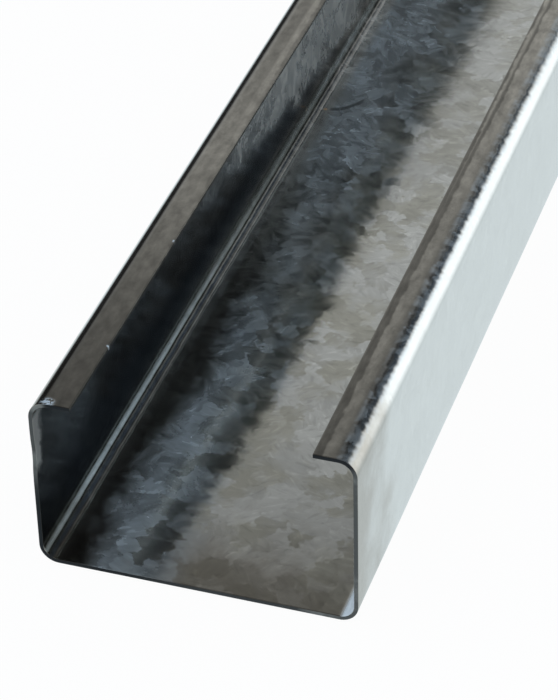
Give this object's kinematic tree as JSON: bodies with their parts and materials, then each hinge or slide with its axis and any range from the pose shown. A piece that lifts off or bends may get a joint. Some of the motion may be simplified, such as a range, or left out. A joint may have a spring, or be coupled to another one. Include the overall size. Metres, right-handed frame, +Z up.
{
  "type": "c purlin",
  "caption": "Straight length of cold-rolled galvanised steel lipped channel with square cut ends, lying on its web.",
  "frame": {"origin": "middle of the back of the web, halfway along the length", "axes": "+Y along the length away from the cut end that the picture shows, +X across the web, +Z up from the web towards the lips"},
  "size_m": [0.075, 3, 0.045],
  "materials": {
    "galvanised_sheet": "hot-dip zinc with a small feathery spangle, dulled to grey, brown-grey near the cut end"
  },
  "bodies": {
    "root": {"c_purlin": "galvanised_sheet"}
  },
  "joints": []
}
